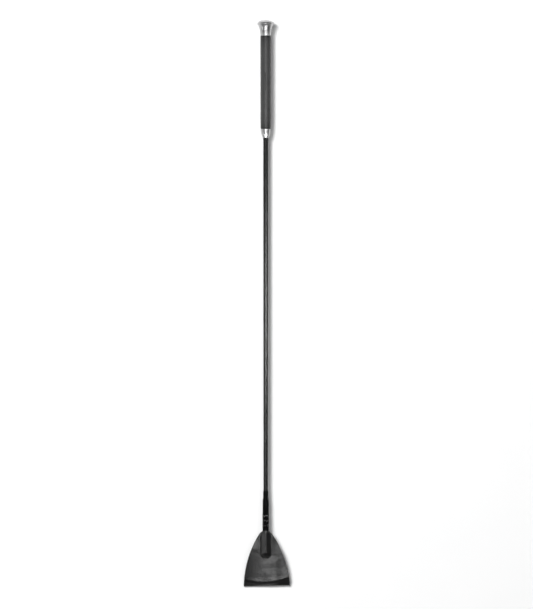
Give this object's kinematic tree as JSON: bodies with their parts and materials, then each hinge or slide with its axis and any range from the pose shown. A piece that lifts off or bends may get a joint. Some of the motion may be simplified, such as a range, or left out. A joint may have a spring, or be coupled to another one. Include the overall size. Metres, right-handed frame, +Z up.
{
  "type": "riding crop",
  "caption": "Slim riding crop: flared metal end cap, smooth grip, metal ferrule, braided tapered shaft, bound neck and a broad folded leather flap that bends.",
  "frame": {"origin": "on the surface the crop lies on, below the middle of its length", "axes": "+Y along the crop towards its end cap, +X across the flap, +Z up out of the flap's front face"},
  "size_m": [0.0532, 0.65, 0.0204],
  "materials": {
    "satin_metal": "satin, turned and brushed",
    "black_ring": "matt black",
    "grip_rubber": "smooth soft-touch, dark grey",
    "former_plastic": "plain moulded",
    "glass_fibre": "pultruded glass fibre in resin",
    "tip_plastic": "moulded black",
    "braid_thread": "braided black thread with a slight sheen",
    "binding_thread": "fine black thread, matt",
    "waxed_thread": "waxed black thread, glossy",
    "leather": "smooth black leather, semi-gloss",
    "stitch_thread": "black sewing thread"
  },
  "bodies": {
    "crop": {"end_cap": "satin_metal", "ferrule": "satin_metal", "cap_washer": "black_ring", "grip_end_ring": "black_ring", "ferrule_seal": "black_ring", "grip_sleeve": "grip_rubber", "grip_core_tube": "former_plastic", "core_rod": "glass_fibre", "rod_tip_cap": "tip_plastic", "braid_cover": "braid_thread", "neck_binding": "binding_thread", "lashing_down_pass": "waxed_thread", "lashing_return_pass": "waxed_thread", "flap_front_tongue": "leather", "flap_back_tongue": "leather", "pocket_stitching": "stitch_thread"},
    "flap": {"flap_blade": "leather"}
  },
  "joints": [
    {"name": "flap_bend", "type": "hinge", "parent": "crop", "child": "flap", "pos_m": [0, -0.2966, 0.0102], "axis": [-1, 0, 0], "range_deg": [-60, 60], "stiffness_Nm_per_rad": 0.15}
  ]
}
